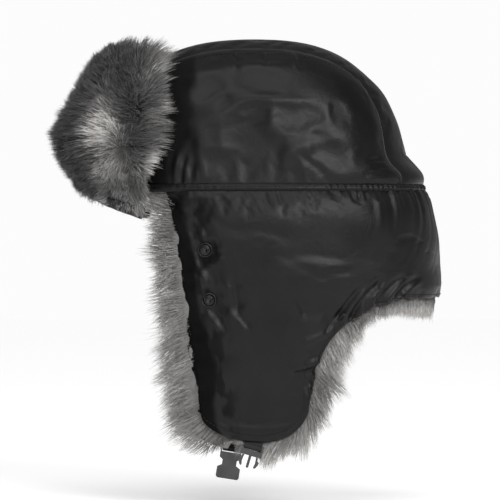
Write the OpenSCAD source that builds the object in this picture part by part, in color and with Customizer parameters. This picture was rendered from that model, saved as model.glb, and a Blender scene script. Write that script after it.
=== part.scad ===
// Padded trapper hat: quilted crown, fur visor folded up, two fur-lined ear flaps and a chin buckle.
// Millimetres. +Z is up, the front of the hat faces -Y, and the wearer's left is +X.
// The origin is the middle of the head opening, at the height of the seam band.

/* [Crown] */
// Half width of the crown at the seam band
crown_half_w = 96; // [90:1:102]
// Reach of the crown in front of its middle
crown_front_len = 132; // [128:1:136]
// Reach of the crown behind its middle
crown_back_len = 124.5; // [120:0.5:128]
// Height of the crown above the seam band
crown_h = 123; // [116:1:128]
// Half width of the centre panel on top of the head
centre_half_w = 40; // [36:1:44]
// Extra half width of the centre panel at the nape
centre_nape_flare = 21; // [14:1:24]

/* [Neck curtain] */
// How far the gathered nape bulges past the crown
nape_bulge = 13; // [8:1:15]
// How far the curtain flares out below the seam band
curtain_flare = 14; // [8:1:18]
// Height of the curtain's lower edge at the nape
curtain_low = -90; // [-96:1:-84]
// Height of the fur fringe under the curtain
curtain_fur_low = -104; // [-108:1:-100]

/* [Ear flaps] */
// Sideways puff of the flaps below the seam band
flap_puff = 6; // [3:0.5:7]
// How far the flap tips hang inward
flap_tuck = 14; // [8:1:16]
// Depth of the flap tips below the seam band
flap_drop = 205; // [200:1:208]
// Pile of the fur lining
lining_pile = 17; // [14:1:18]

/* [Visor] */
// Half width of the visor at the temples
visor_half_w = 98; // [96:1:100]
// Height of the visor's top edge at its middle
visor_top = 116; // [112:1:118]
// Thinnest pile of the visor fur
visor_pile = 12; // [10:1:14]
// Extra pile at the visor's fullest place
visor_pile_bulge = 12; // [8:1:14]

/* [Chin buckle] */
// Width of the chin webbing
webbing_w = 14.8; // [14:0.1:15]
// Thickness of one layer of webbing
webbing_t = 1.2; // [1:0.1:1.3]
// Radius of the bars that the webbing loops hold
bar_r = 1.3; // [1.2:0.05:1.4]
// Forward lean of the hanging plug
plug_lean = -16.5; // [-18:0.5:-12]
// Length of the socket's webbing, from the flap to its bar
socket_drop = 12; // [10:1:14]
// Forward lean of the hanging socket
socket_lean = -9; // [-12:0.5:-6]

/* [Snaps] */
// Radius of the stud that a mask's socket snaps over
stud_r = 2.8; // [2.4:0.1:3]
// Radius of the snap's flange
flange_r = 6.2; // [5.5:0.1:6.5]

/* [Hidden] */
$fn = 48;

nylon = [0.22, 0.21, 0.20];
fur_light = [0.55, 0.54, 0.52];
fur_dark = [0.33, 0.32, 0.31];
wadding = [0.86, 0.85, 0.82];
quilt = [0.16, 0.16, 0.17];
plastic = [0.13, 0.13, 0.14];
snap_metal = [0.18, 0.18, 0.19];

mid_y = -10;        // where the crown's front and back curves meet
curve_p = 2.5;      // exponent of the rounded plan and profile curves
shell_t = 1.2;      // nylon with its backing
seam_gap = 0.4;     // half the gap between two sewn panels
fold_gap = 0.7;     // half the gap along a flap's fold line
band_top = 3.1;
band_low = -3.4;
panel_low = 3.8;    // lower edge of the crown's layers
curtain_top = -4.5; // upper edge of the curtain's layers
fold_front = [-84, -4];
fold_rear = [89, -98];
crown_wadding_t = [2.4, 6.4];
crown_lining_t = [6.8, 8.2];
flap_wadding_t = [2.8, 6.8];
lining_fur_t = [7.2, 7.2 + lining_pile];

// ---- curves and surfaces ----

function clamp01(v) = min(1, max(0, v));
function smooth(v) = let (t = clamp01(v)) t * t * (3 - 2 * t);
function signed_pow(v, e) = sign(v) * pow(abs(v), e);
function bezier(p, t) = pow(1 - t, 3) * p[0] + 3 * pow(1 - t, 2) * t * p[1]
                        + 3 * (1 - t) * t * t * p[2] + pow(t, 3) * p[3];
function unit(v) = v / norm(v);

// Reach of the hat behind its middle, at height z
function back_len(z) = z >= 0
    ? crown_back_len + nape_bulge * exp(-z / 8)
    : crown_back_len + nape_bulge + curtain_flare * (1 - exp(z / 35));
function reach(y, z) = y < mid_y ? crown_front_len : back_len(z);
function half_w(z) = z >= 0
    ? crown_half_w
    : crown_half_w + flap_puff * (1 - exp(z / 12)) - flap_tuck * pow(z / flap_drop, 2);

// Point of the outer surface on the left side, above or below [y, z]
function on_side(q) =
    let (y = q[0], z = q[1],
         left = 1 - pow(abs(y - mid_y) / reach(y, z), curve_p) - pow(max(z, 0) / crown_h, curve_p))
    [half_w(z) * pow(max(left, 0), 1 / curve_p), y, z];

// Point of the outer surface at height z, turned by phi from the front
function on_plan(phi, z) =
    let (c = signed_pow(cos(phi), 2 / curve_p),
         far = c > 0 ? crown_front_len : back_len(z))
    [half_w(z) * signed_pow(sin(phi), 2 / curve_p), mid_y - far * c, z];

// The same point, t further in
function inset(p, t) = [p.x * (1 - t / half_w(p.z)),
                        mid_y + (p.y - mid_y) * (1 - t / reach(p.y, p.z)),
                        p.z > 0 ? p.z * (1 - t / crown_h) : p.z];
function inset_grid(grid, t) = [for (row = grid) [for (p = row) inset(p, t)]];

// Surface patch of [y, z] points between four edges, each a function of 0 to 1
function patch(low, high, front, rear, u, v) =
    (1 - v) * low(u) + v * high(u) + (1 - u) * front(v) + u * rear(v)
    - (1 - u) * (1 - v) * low(0) - u * (1 - v) * low(1) - (1 - u) * v * high(0) - u * v * high(1);
function patch_grid(low, high, front, rear, nu, nv, trim = 0) =
    [for (j = [0:nv]) [for (i = [0:nu])
        on_side(patch(low, high, front, rear,
                      trim + (1 - 2 * trim) * i / nu, trim + (1 - 2 * trim) * j / nv))]];

// ---- solids from grids ----

// Closed solid between two grids of points of the same size
module between(outer, inner) {
    rows = len(outer);
    cols = len(outer[0]);
    n = rows * cols;
    mi = floor((rows - 1) / 2);
    mj = floor((cols - 1) / 2);
    facing = cross(outer[mi + 1][mj] - outer[mi][mj], outer[mi][mj + 1] - outer[mi][mj])
             * (outer[mi][mj] - inner[mi][mj]);
    rim = concat([for (j = [0:cols - 2]) j],
                 [for (i = [0:rows - 2]) i * cols + cols - 1],
                 [for (j = [cols - 1:-1:1]) (rows - 1) * cols + j],
                 [for (i = [rows - 1:-1:1]) i * cols]);
    faces = concat(
        [for (i = [0:rows - 2], j = [0:cols - 2], half = [0, 1])
            let (a = i * cols + j, b = a + cols, c = b + 1, d = a + 1)
            half == 0 ? [a, d, c] : [a, c, b]],
        [for (i = [0:rows - 2], j = [0:cols - 2], half = [0, 1])
            let (a = n + i * cols + j, b = a + cols, c = b + 1, d = a + 1)
            half == 0 ? [a, c, d] : [a, b, c]],
        [for (k = [0:len(rim) - 1], half = [0, 1])
            let (p = rim[k], q = rim[(k + 1) % len(rim)])
            half == 0 ? [q, p, p + n] : [q, p + n, q + n]]);
    polyhedron(points = [for (g = [outer, inner], row = g, p = row) p],
               faces = facing > 0 ? faces : [for (f = faces) [f[2], f[1], f[0]]]);
}

// Closed loop of profiles, each a closed list of points
module swept_ring(profiles) {
    n = len(profiles);
    m = len(profiles[0]);
    polyhedron(points = [for (row = profiles, p = row) p],
               faces = [for (i = [0:n - 1], j = [0:m - 1], half = [0, 1])
                   let (a = i * m + j, b = ((i + 1) % n) * m + j,
                        c = ((i + 1) % n) * m + (j + 1) % m, d = i * m + (j + 1) % m)
                   half == 0 ? [a, b, c] : [a, c, d]]);
}

// Dome of the crown between two depths
module dome(depths, around = 44, levels = 11) {
    start = 1.2;
    rings = [for (t = depths, k = [0:levels - 1], i = [0:around - 1])
        let (rise = start + (90 - start) * pow(k / levels, 1.4), phi = 360 * i / around,
             c = pow(cos(rise), 2 / curve_p), z = crown_h * pow(sin(rise), 2 / curve_p),
             flat = on_plan(phi, z), far = flat.y < mid_y ? crown_front_len : back_len(z))
        inset([flat.x * c, mid_y + (flat.y - mid_y) * c, max(z, panel_low)], t)];
    n = levels * around;
    tops = [for (t = depths) [0, mid_y, crown_h - t]];
    skin = function(base, top)
        [for (k = [0:levels - 2], i = [0:around - 1], half = [0, 1])
            let (j = (i + 1) % around, a = base + k * around + i, b = base + k * around + j,
                 c = b + around, d = a + around)
            half == 0 ? [a, c, b] : [a, d, c],
         for (i = [0:around - 1])
            [base + (levels - 1) * around + i, top, base + (levels - 1) * around + (i + 1) % around]];
    outer = skin(0, 2 * n);
    inner = skin(n, 2 * n + 1);
    hem = [for (i = [0:around - 1], half = [0, 1])
        let (a = i, b = (i + 1) % around)
        half == 0 ? [a, b, b + n] : [a, b + n, a + n]];
    polyhedron(points = concat(rings, tops),
               faces = concat(outer, [for (f = inner) [f[2], f[1], f[0]]], hem));
}

// ---- crown ----

// Half width of the centre panel at height z, front or back
function centre_w(z, back) =
    centre_half_w + (back ? centre_nape_flare : centre_nape_flare / 3) * smooth(1 - z / crown_h);
// Point at fraction u across the centre panel; alpha runs from the nape (0) over the top to the front (180)
function on_centre(alpha, u, grow = 0) =
    let (rise = pow(sin(alpha), 2 / curve_p), back = alpha < 90,
         w1 = centre_w(crown_h * rise * 0.93, back),
         w = centre_w(crown_h * rise * pow(1 - pow(w1 / crown_half_w, curve_p), 1 / curve_p), back),
         x = u * (w + grow), k = pow(1 - pow(abs(x) / crown_half_w, curve_p), 1 / curve_p),
         z = max(crown_h * k * rise, panel_low), far = back ? back_len(z) : crown_front_len)
    [x, mid_y + far * k * signed_pow(cos(alpha), 2 / curve_p), z];
alpha_low = 1.1;   // where the centre panel meets the seam band
alpha_turn = 45;   // where the side panel's top edge turns down

module crown_centre_panel() {
    rows = 32;
    grid = [for (i = [0:rows]) [for (j = [-4:4])
        let (part = i / rows - 0.11 * sin(360 * i / rows))
        on_centre(alpha_low + (180 - 2 * alpha_low) * part, j / 4, -seam_gap)]];
    color(nylon) between(grid, inset_grid(grid, shell_t));
}

module crown_side_panel() {
    seam = function(alpha) let (p = on_centre(alpha, 1, seam_gap)) [p.y, p.z];
    rear_low = seam(alpha_low);
    front_low = seam(180 - alpha_low);
    grid = patch_grid(
        function(u) front_low + u * (rear_low - front_low),
        function(u) seam(180 - alpha_turn + u * (2 * alpha_turn - 180)),
        function(v) seam(180 - alpha_low + v * (alpha_low - alpha_turn)),
        function(v) seam(alpha_low + v * (alpha_turn - alpha_low)), 14, 12);
    color(nylon) between(grid, inset_grid(grid, shell_t));
}

module crown_left_panel() crown_side_panel();
module crown_right_panel() mirror([1, 0, 0]) crown_side_panel();
module crown_wadding() color(wadding) dome(crown_wadding_t);
module crown_lining() color(quilt) dome(crown_lining_t);

// Piped casing all round the head opening
module seam_band() {
    profile = [for (a = [0:45:315]) [1.9 - 3.4 * cos(a), (band_top + band_low) / 2
                                     + (band_top - band_low) / 2 * sin(a)]];
    color(nylon) swept_ring([for (i = [0:51]) [for (q = profile)
        let (p = inset(on_plan(360 * i / 52, -0.01), q[0])) [p.x, p.y, q[1]]]]);
}

// Elastic strip inside the casing, round the nape
module back_elastic() {
    grid = [for (z = [-3, 3]) [for (i = [0:16])
        let (p = inset(on_plan(120 + 120 * i / 16, -0.01), 5.8)) [p.x, p.y, z]]];
    inner = [for (z = [-3, 3]) [for (i = [0:16])
        let (p = inset(on_plan(120 + 120 * i / 16, -0.01), 7)) [p.x, p.y, z]]];
    color(plastic) between(grid, inner);
}

// ---- neck curtain: the part of the lower shell above both fold lines ----

function fold_z(y) = fold_front[1] + (y - fold_front[0]) * (fold_rear[1] - fold_front[1])
                                     / (fold_rear[0] - fold_front[0]);
function curtain_edge(y) = max(fold_z(y) + fold_gap,
                               curtain_low - 7 * (1 - smooth((y - fold_rear[0]) / 24)));
function curtain_fur_edge(y) = max(fold_z(y) + fold_gap, curtain_fur_low);

// Columns of points that hang from the seam band down to edge(y)
function curtain_grid(edge, rows, lift = 0) =
    let (start = 64)
    [for (i = [0:44])
        let (phi = start + (360 - 2 * start) * i / 44,
             first = edge(on_plan(phi, -50).y), second = edge(on_plan(phi, first).y),
             low = edge(on_plan(phi, second).y) + lift)
        [for (k = [0:rows]) on_plan(phi, curtain_top + (low - curtain_top) * k / rows)]];

module curtain_layer(edge, rows, depths, lift = 0) {
    grid = curtain_grid(edge, rows, lift);
    between(inset_grid(grid, depths[0]), inset_grid(grid, depths[1]));
}
module neck_shell() color(nylon)
    curtain_layer(function(y) curtain_edge(y), 6, [0, shell_t]);
module neck_wadding() color(wadding)
    curtain_layer(function(y) curtain_edge(y), 5, [1.8, 6], 1);
module neck_fur() color(fur_light)
    curtain_layer(function(y) curtain_fur_edge(y), 5, lining_fur_t);

// ---- ear flaps: drawn for the left side ----

// Edges of the padded shell, seen from the side
flap_top = [[-83, fold_z(-83) - fold_gap], [88, fold_z(88) - fold_gap]];
flap_front_edge = [[-54, -184], [-62, -105], [-68, -55], flap_top[0]];
flap_tip_edge = [[-54, -184], [-48, -208], [20, -226], [34, -184]];
flap_rear_edge = [[34, -184], [40, -140], [47, -118], flap_top[1]];
// Edges of the fur lining, which shows as a fringe in front of and behind the shell
fur_top = [[-92, -6], [97, -104.5]];
fur_front_edge = [[-72, -195], [-96, -150], [-92, -70], fur_top[0]];
fur_tip_edge = [[-72, -195], [-50, -208], [10, -210], [36, -196]];
fur_rear_edge = [[36, -196], [66, -176], [58, -130], fur_top[1]];

function flap_grid(top, front, tip, rear, nu, nv, trim = 0) = patch_grid(
    function(u) bezier(tip, u), function(u) top[0] + u * (top[1] - top[0]),
    function(v) bezier(front, v), function(v) bezier(rear, v), nu, nv, trim);

module flap_layer(depths, nu, nv, trim) {
    grid = flap_grid(flap_top, flap_front_edge, flap_tip_edge, flap_rear_edge, nu, nv, trim);
    between(inset_grid(grid, depths[0]), inset_grid(grid, depths[1]));
}

module flap_shell() color(nylon) difference() {
    flap_layer([0, shell_t], 14, 14, 0);
    at_snaps() cylinder(r = stem_r + 0.2, h = 12, center = true);
}
module flap_wadding() color(wadding) flap_layer(flap_wadding_t, 8, 9, 0.08);
module flap_fur() {
    grid = flap_grid(fur_top, fur_front_edge, fur_tip_edge, fur_rear_edge, 12, 13);
    color(fur_light) between(inset_grid(grid, lining_fur_t[0]), inset_grid(grid, lining_fur_t[1]));
}

// ---- snaps for a face mask ----

snap_places = [[-50.4, -50.8], [-47.3, -91.8]];
stem_r = 1.7;       // rivet stem through the shell
flange_h = 1.3;
stud_h = 4;         // top of the stud above the flange's underside
snap_lift = 0.35;   // underside of the flange above the shell's middle there

// Outward direction of the shell at [y, z] on the left side
function outward(q) =
    let (d = 1, along_y = on_side(q + [d, 0]) - on_side(q - [d, 0]),
         along_z = on_side(q + [0, d]) - on_side(q - [0, d]))
    unit(cross(along_y, along_z));

// Puts its children at each snap, with +Z outward
module at_snaps() {
    for (q = snap_places) {
        n = outward(q);
        translate(on_side(q)) rotate([0, acos(n.z), atan2(n.y, n.x)]) children();
    }
}
module snap_studs() color(snap_metal) at_snaps() translate([0, 0, snap_lift]) {
    difference() {
        cylinder(r = flange_r, h = flange_h);
        translate([0, 0, flange_h - 0.6]) difference() {
            cylinder(r = flange_r - 1.1, h = 1);
            translate([0, 0, -0.1]) cylinder(r = stud_r, h = 2);
        }
    }
    cylinder(r = stud_r, h = stud_h);
    translate([0, 0, -1.7]) cylinder(r = stem_r, h = 2);
}
module snap_caps() color(snap_metal) at_snaps() translate([0, 0, -2.6]) cylinder(r = 4.5, h = 0.9);

// ---- visor, folded up ----

visor_shell_t = [-5.4, -4.2]; // nylon side, towards the crown
visor_wadding_t = [-3.4, -0.2];

function visor_w(z) = visor_half_w - 28 * pow(clamp01((z - 30) / 80), 1.6);
function visor_front(z) = -157 + (z < 45 ? 9 * pow((z - 45) / 45, 2) : 33 * pow((z - 45) / 71, 2));
function visor_edge(z) = -100 + 0.12 * z;
function on_visor(s, z) =
    [s * visor_w(z), visor_front(z) + (visor_edge(z) - visor_front(z)) * pow(abs(s), 3.5), z];
function visor_z(s, v) =
    let (low = 4 - 27 * pow(abs(s), 1.6), high = visor_top - 8 * s * s - 9 * pow(abs(s), 8))
    low + v * (high - low);
// Point of the visor at fraction s across and v up, t outward
function visor_point(s, v, t) =
    let (z = visor_z(s, v), d = 0.01,
         across = on_visor(s + d, z) - on_visor(s - d, z), up = on_visor(s, z + 1) - on_visor(s, z - 1))
    on_visor(s, z) + t * unit(cross(across, up));
function visor_grid(t, side, low, high, nu, nv) =
    [for (j = [0:nv]) [for (i = [0:nu])
        visor_point(side * (2 * i / nu - 1), low + (high - low) * j / nv, t)]];
module visor_shell() color(nylon)
    between(visor_grid(visor_shell_t[1], 1, 0, 1, 20, 8), visor_grid(visor_shell_t[0], 1, 0, 1, 20, 8));
module visor_wadding() color(wadding)
    between(visor_grid(visor_wadding_t[1], 0.97, 0.03, 0.97, 20, 8),
            visor_grid(visor_wadding_t[0], 0.97, 0.03, 0.97, 20, 8));
module visor_fur() {
    nu = 20;
    nv = 9;
    outer = [for (j = [0:nv]) [for (i = [0:nu])
        let (s = 1.045 * (2 * i / nu - 1), v = -0.02 + 1.07 * j / nv, z = visor_z(s, v),
             ends = smooth(j / 1.5) * smooth((nv - j) / 1.5),
             pile = (visor_pile + visor_pile_bulge * exp(-pow((z - 42) / 18, 2))) * (1 - 0.5 * pow(s, 4)))
        visor_point(s, v, 4 + (pile - 4) * (0.4 + 0.6 * ends))]];
    color(fur_dark) between(outer, visor_grid(0.4, 1.045, -0.02, 1.05, nu, nv));
}

// ---- chin straps and the side-release buckle: built hanging from the bar's axis ----

strap_x = 84;
left_strap = [-10.5, -208.5];   // [y, z] of the bend line where the webbing leaves the flap
right_strap = [-28, -211.5];
plug_drop = 4.2;        // from the bend line to the plug's bar
loop_clear = 0.08;      // running clearance of a webbing loop on its bar
loop_r = bar_r + loop_clear + webbing_t;
rail_y = webbing_w / 2 + 0.35;

// Puts its children in a strap's frame: origin on the bend line, hanging along -Z
module at_bar(strap, lean, drop)
    translate([strap_x, strap[0], strap[1]]) rotate([lean, 0, 0]) translate([0, 0, -drop]) children();
module at_plug() at_bar(left_strap, plug_lean, plug_drop) children();
module at_socket() mirror([1, 0, 0]) at_bar(right_strap, socket_lean, socket_drop) children();
module bar(r, h) rotate([90, 0, 0]) cylinder(r = r, h = h, center = true);
module block(x, y, z) translate([x[0], y[0], z[0]]) cube([x[1] - x[0], y[1] - y[0], z[1] - z[0]]);

module strap_loop(strap, lean, drop) color(plastic) {
    at_bar(strap, lean, drop) difference() {
        union() {
            bar(loop_r, webbing_w);
            block([-webbing_t, webbing_t], [-webbing_w / 2, webbing_w / 2], [0, drop + 0.3]);
        }
        bar(bar_r + loop_clear, webbing_w + 2);
    }
}
// Sewn-in end of the strap, inside the flap
module strap_tab(strap) color(plastic)
    translate([strap_x, strap[0], strap[1]])
        block([-0.9, 0.9], [-webbing_w / 2, webbing_w / 2], [3.6, 11.5]);

// Bar on two rails, down to z
module bar_end(half_x, z) {
    bar(bar_r, 2 * rail_y + 2.6);
    for (side = [-1, 1]) translate([0, side * (rail_y + 0.65), 0]) {
        bar(half_x, 1.3);
        block([-half_x, half_x], [-0.65, 0.65], [z, 0]);
    }
}

module buckle_plug() color(plastic) at_plug() {
    bar_end(2.1, -4);
    block([-2.1, 2.1], [-rail_y - 1.3, rail_y + 1.3], [-7.4, -3]);
    block([-1.5, 1.5], [-1.1, 1.1], [-16.6, -7]);
    translate([0, 0, -16.6]) rotate([0, 90, 0]) cylinder(r = 1.1, h = 3, center = true);
}
// Springy arm with its barb, on the +Y side of the plug
module prong() {
    arm = [[4.9, -7.7], [6.6, -7.7], [7.1, -10.5], [8.5, -11.2], [8.2, -13.6], [6.9, -16.2],
           [5.7, -17], [4.9, -16.2], [5.5, -13], [5.3, -10]];
    rotate([90, 0, 90]) linear_extrude(height = 3.4, center = true) polygon(arm);
}
module plug_prong_back() color(plastic) at_plug() prong();
module plug_prong_front() color(plastic) at_plug() mirror([0, 1, 0]) prong();

socket_half_x = 3.7;
mouth_half_x = 2.4;
mouth_half_y = 7.9;
socket_low = -26;
module buckle_socket() color(plastic) at_socket() {
    outline = [[9.1, -3.4], [9.1, -8], [6.2, -10], [6.2, -14.6], [10, -16.8], [10, -24.4], [8.6, socket_low]];
    bar_end(2.1, -4);
    difference() {
        rotate([90, 0, 90]) linear_extrude(height = 2 * socket_half_x, center = true)
            polygon(concat(outline, [for (i = [len(outline) - 1:-1:0]) [-outline[i][0], outline[i][1]]]));
        block([-mouth_half_x, mouth_half_x], [-mouth_half_y, mouth_half_y], [socket_low - 1, -7]);
    }
}

module mirrored() mirror([1, 0, 0]) children();
module left_flap_shell() flap_shell();
module left_flap_wadding() flap_wadding();
module left_flap_fur() flap_fur();
module left_snap_studs() snap_studs();
module left_snap_caps() snap_caps();
module left_strap_tab() strap_tab(left_strap);
module left_strap_loop() strap_loop(left_strap, plug_lean, plug_drop);
module right_flap_shell() mirrored() flap_shell();
module right_flap_wadding() mirrored() flap_wadding();
module right_flap_fur() mirrored() flap_fur();
module right_snap_studs() mirrored() snap_studs();
module right_snap_caps() mirrored() snap_caps();
module right_strap_tab() mirrored() strap_tab(right_strap);
module right_strap_loop() mirrored() strap_loop(right_strap, socket_lean, socket_drop);

crown_centre_panel();
crown_left_panel();
crown_right_panel();
crown_wadding();
crown_lining();
seam_band();
back_elastic();
neck_shell();
neck_wadding();
neck_fur();
visor_shell();
visor_wadding();
visor_fur();
left_flap_shell();
left_flap_wadding();
left_flap_fur();
left_snap_studs();
left_snap_caps();
left_strap_tab();
left_strap_loop();
buckle_plug();
plug_prong_front();
plug_prong_back();
right_flap_shell();
right_flap_wadding();
right_flap_fur();
right_snap_studs();
right_snap_caps();
right_strap_tab();
right_strap_loop();
buckle_socket();
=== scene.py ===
import math

import bmesh
import bpy
import numpy as np
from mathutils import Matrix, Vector


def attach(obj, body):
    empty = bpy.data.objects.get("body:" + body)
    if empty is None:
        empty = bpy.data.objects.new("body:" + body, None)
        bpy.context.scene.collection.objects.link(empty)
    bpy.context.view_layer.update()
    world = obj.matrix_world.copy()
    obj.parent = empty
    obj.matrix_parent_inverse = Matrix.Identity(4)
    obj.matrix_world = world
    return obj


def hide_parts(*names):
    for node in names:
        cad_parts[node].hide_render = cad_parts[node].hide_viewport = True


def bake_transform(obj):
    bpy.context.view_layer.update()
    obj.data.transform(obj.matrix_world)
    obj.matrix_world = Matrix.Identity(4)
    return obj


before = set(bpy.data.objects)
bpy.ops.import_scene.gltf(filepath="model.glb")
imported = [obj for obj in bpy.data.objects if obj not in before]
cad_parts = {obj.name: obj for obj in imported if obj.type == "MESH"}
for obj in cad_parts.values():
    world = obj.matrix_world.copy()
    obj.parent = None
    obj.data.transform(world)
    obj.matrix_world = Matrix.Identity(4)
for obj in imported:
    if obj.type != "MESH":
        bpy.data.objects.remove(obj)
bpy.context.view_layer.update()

MM = 0.001
SIDES = ((1, "left"), (-1, "right"))
HAIR_COUNT = 12000

# ---- driving dimensions of the hat, in millimetres ----

CROWN_HALF_W = 96
CROWN_FRONT = 132
CROWN_BACK = 124.5
CROWN_H = 123
CENTRE_HALF_W = 40
CENTRE_NAPE_FLARE = 21
NAPE_BULGE = 17
CURTAIN_FLARE = 14
CURTAIN_LOW = -90
CURTAIN_FUR_LOW = -99
FLAP_PUFF = 6
FLAP_TUCK = 14
FLAP_DROP = 205
LINING_PILE = 17
VISOR_HALF_W = 98
VISOR_TOP = 116
MID_Y = -10
CURVE_P = 2.5
FOLD_FRONT = np.array([-84.0, -4.0])
FOLD_REAR = np.array([89.0, -98.0])
SNAP_PLACES = [(-50.4, -50.8), (-47.3, -91.8)]


# ---- curves and surfaces ----

def smooth(v):
    t = np.clip(v, 0, 1)
    return t * t * (3 - 2 * t)


def signed_pow(v, e):
    return np.sign(v) * np.abs(v) ** e


def unit(v):
    return v / np.maximum(np.linalg.norm(v, axis=-1, keepdims=True), 1e-9)


def lengths(points, axis=0):
    """Distance run along one axis of an array of points, from zero at its start."""
    steps = np.linalg.norm(np.diff(points, axis=axis), axis=-1)
    return np.cumsum(np.concatenate([np.zeros_like(steps.take([0], axis)), steps], axis), axis)


def bezier(points, t):
    p = np.array(points, float)
    t = np.asarray(t, float)[:, None]
    return (1 - t) ** 3 * p[0] + 3 * (1 - t) ** 2 * t * p[1] + 3 * (1 - t) * t * t * p[2] + t ** 3 * p[3]


def back_len(z):
    """Reach of the hat behind its middle at height z."""
    z = np.asarray(z, float)
    above = CROWN_BACK + NAPE_BULGE / (1 + (np.maximum(z, 0) / 19) ** 5)
    below = CROWN_BACK + NAPE_BULGE + CURTAIN_FLARE * (1 - np.exp(np.minimum(z, 0) / 35))
    return np.where(z >= 0, above, below)


def half_w(z):
    low = np.minimum(np.asarray(z, float), 0)
    return CROWN_HALF_W + FLAP_PUFF * (1 - np.exp(low / 12)) - FLAP_TUCK * (low / FLAP_DROP) ** 2


def reach(y, z):
    return np.where(np.asarray(y) < MID_Y, CROWN_FRONT, back_len(z))


def on_side(y, z):
    """Points of the outer surface on the left side."""
    left = 1 - np.abs((y - MID_Y) / reach(y, z)) ** CURVE_P - (np.maximum(z, 0) / CROWN_H) ** CURVE_P
    return np.stack([half_w(z) * np.maximum(left, 0) ** (1 / CURVE_P), y, z], -1)


def on_plan(phi, z):
    """Points of the outer surface at height z, turned by phi radians from the front."""
    phi, z = np.broadcast_arrays(np.asarray(phi, float), np.asarray(z, float))
    c = signed_pow(np.cos(phi), 2 / CURVE_P)
    far = np.where(c > 0, CROWN_FRONT, back_len(z))
    return np.stack([half_w(z) * signed_pow(np.sin(phi), 2 / CURVE_P), MID_Y - far * c, z], -1)


def inset(p, t):
    """The same points, t further in; t may be an array."""
    t = np.asarray(t, float)
    x = p[..., 0] * (1 - t / half_w(p[..., 2]))
    y = MID_Y + (p[..., 1] - MID_Y) * (1 - t / reach(p[..., 1], p[..., 2]))
    z = np.where(p[..., 2] > 0, p[..., 2] * (1 - t / CROWN_H), p[..., 2])
    return np.stack([x, y, z], -1)


def plan_angle(y, z):
    """Angle from the front at which the left side has that y."""
    y = np.asarray(y, float)
    front = np.clip((MID_Y - y) / CROWN_FRONT, 0, 1) ** (CURVE_P / 2)
    back = np.clip((y - MID_Y) / back_len(z), 0, 1) ** (CURVE_P / 2)
    return np.where(y < MID_Y, np.arccos(front), math.pi - np.arccos(back))


# Distance round the hat from the front, used to lay the lower shell out flat
PHIS = np.linspace(0, math.pi, 400)
ROUND = lengths(on_plan(PHIS, -50.0))


def to_flat(y, z):
    return np.interp(plan_angle(y, z), PHIS, ROUND)


def from_flat(s, z):
    return on_plan(np.interp(s, ROUND, PHIS), z)


def centre_w(z, back):
    return CENTRE_HALF_W + np.where(back, CENTRE_NAPE_FLARE, CENTRE_NAPE_FLARE / 3) * smooth(1 - z / CROWN_H)


def on_centre(alpha, u, low):
    """Points at fraction u across the centre panel; alpha runs from the nape over the top to the front."""
    rise = np.sin(alpha) ** (2 / CURVE_P)
    back = alpha < math.pi / 2
    w = centre_w(CROWN_H * rise * 0.93, back)
    w = centre_w(CROWN_H * rise * (1 - (w / CROWN_HALF_W) ** CURVE_P) ** (1 / CURVE_P), back)
    x = u * w
    k = (1 - (np.abs(x) / CROWN_HALF_W) ** CURVE_P) ** (1 / CURVE_P)
    z = np.maximum(CROWN_H * k * rise, low)
    far = np.where(back, back_len(z), CROWN_FRONT)
    return np.stack([x, MID_Y + far * k * signed_pow(np.cos(alpha), 2 / CURVE_P), z], -1)


# ---- noise that gives the same result each run ----

def waves(p, size, seed, octaves=3):
    """Smooth noise from -1 to 1 at points p, with bumps of about that size in mm."""
    rng = np.random.default_rng(seed)
    out = np.zeros(p.shape[:-1])
    gain = 1.0
    total = 0.0
    for _ in range(octaves):
        for _ in range(5):
            d = rng.normal(size=3)
            d /= np.linalg.norm(d)
            k = 2 * math.pi / (size * rng.uniform(0.75, 1.4))
            out += gain * np.sin(p @ d * k + rng.uniform(0, 2 * math.pi))
        total += gain * 2.2
        gain *= 0.5
        size *= 0.5
    return np.clip(out / total, -1, 1)


# ---- meshes ----

def link(name, data):
    obj = bpy.data.objects.new(name, data)
    bpy.context.scene.collection.objects.link(obj)
    return obj


def mesh_object(name, points, faces, material=None):
    mesh = bpy.data.meshes.new(name)
    mesh.from_pydata((np.asarray(points).reshape(-1, 3) * MM).tolist(), [], [list(f) for f in faces])
    mesh.validate()
    mesh.polygons.foreach_set("use_smooth", [True] * len(mesh.polygons))
    mesh.update()
    if material:
        mesh.materials.append(material)
    return link(name, mesh)


def grid_faces(rows, cols, close_cols=False, offset=0):
    i, j = np.meshgrid(np.arange(rows - 1), np.arange(cols if close_cols else cols - 1), indexing="ij")
    n = (j + 1) % cols
    quads = np.stack([i * cols + j, (i + 1) * cols + j, (i + 1) * cols + n, i * cols + n], -1)
    return quads.reshape(-1, 4) + offset


def out_normals(grid):
    """Unit normals of a grid, turned to point away from the middle of the hat."""
    normals = unit(np.cross(np.gradient(grid, axis=0), np.gradient(grid, axis=1)))
    flip = np.sign(np.sum(normals * (grid - np.array([0.0, MID_Y, 0.0])), -1, keepdims=True))
    return normals * np.where(flip == 0, 1, flip)


def closed_sheet(name, outer, inner, material, joined=False):
    """Closed solid between two grids of one size; joined keeps the last column's shading flat across."""
    rows, cols = outer.shape[:2]
    n = rows * cols
    top = grid_faces(rows, cols)
    index = np.arange(n).reshape(rows, cols)
    rim = np.concatenate([index[0, :-1], index[:-1, -1], index[-1, :0:-1], index[:0:-1, 0]])
    nxt = np.roll(rim, -1)
    walls = np.stack([rim, nxt, nxt + n, rim + n], -1)
    faces = np.concatenate([top, top[:, ::-1] + n, walls])
    obj = mesh_object(name, np.concatenate([outer.reshape(-1, 3), inner.reshape(-1, 3)]), faces, material)
    outward(obj)
    if joined:
        last = np.arange(2 * n) % cols == cols - 1
        ends = np.zeros(len(obj.data.edges) * 2, np.int32)
        obj.data.edges.foreach_get("vertices", ends)
        obj.data.edges.foreach_set("use_edge_sharp", last[ends].reshape(-1, 2).all(1))
    return obj


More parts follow.
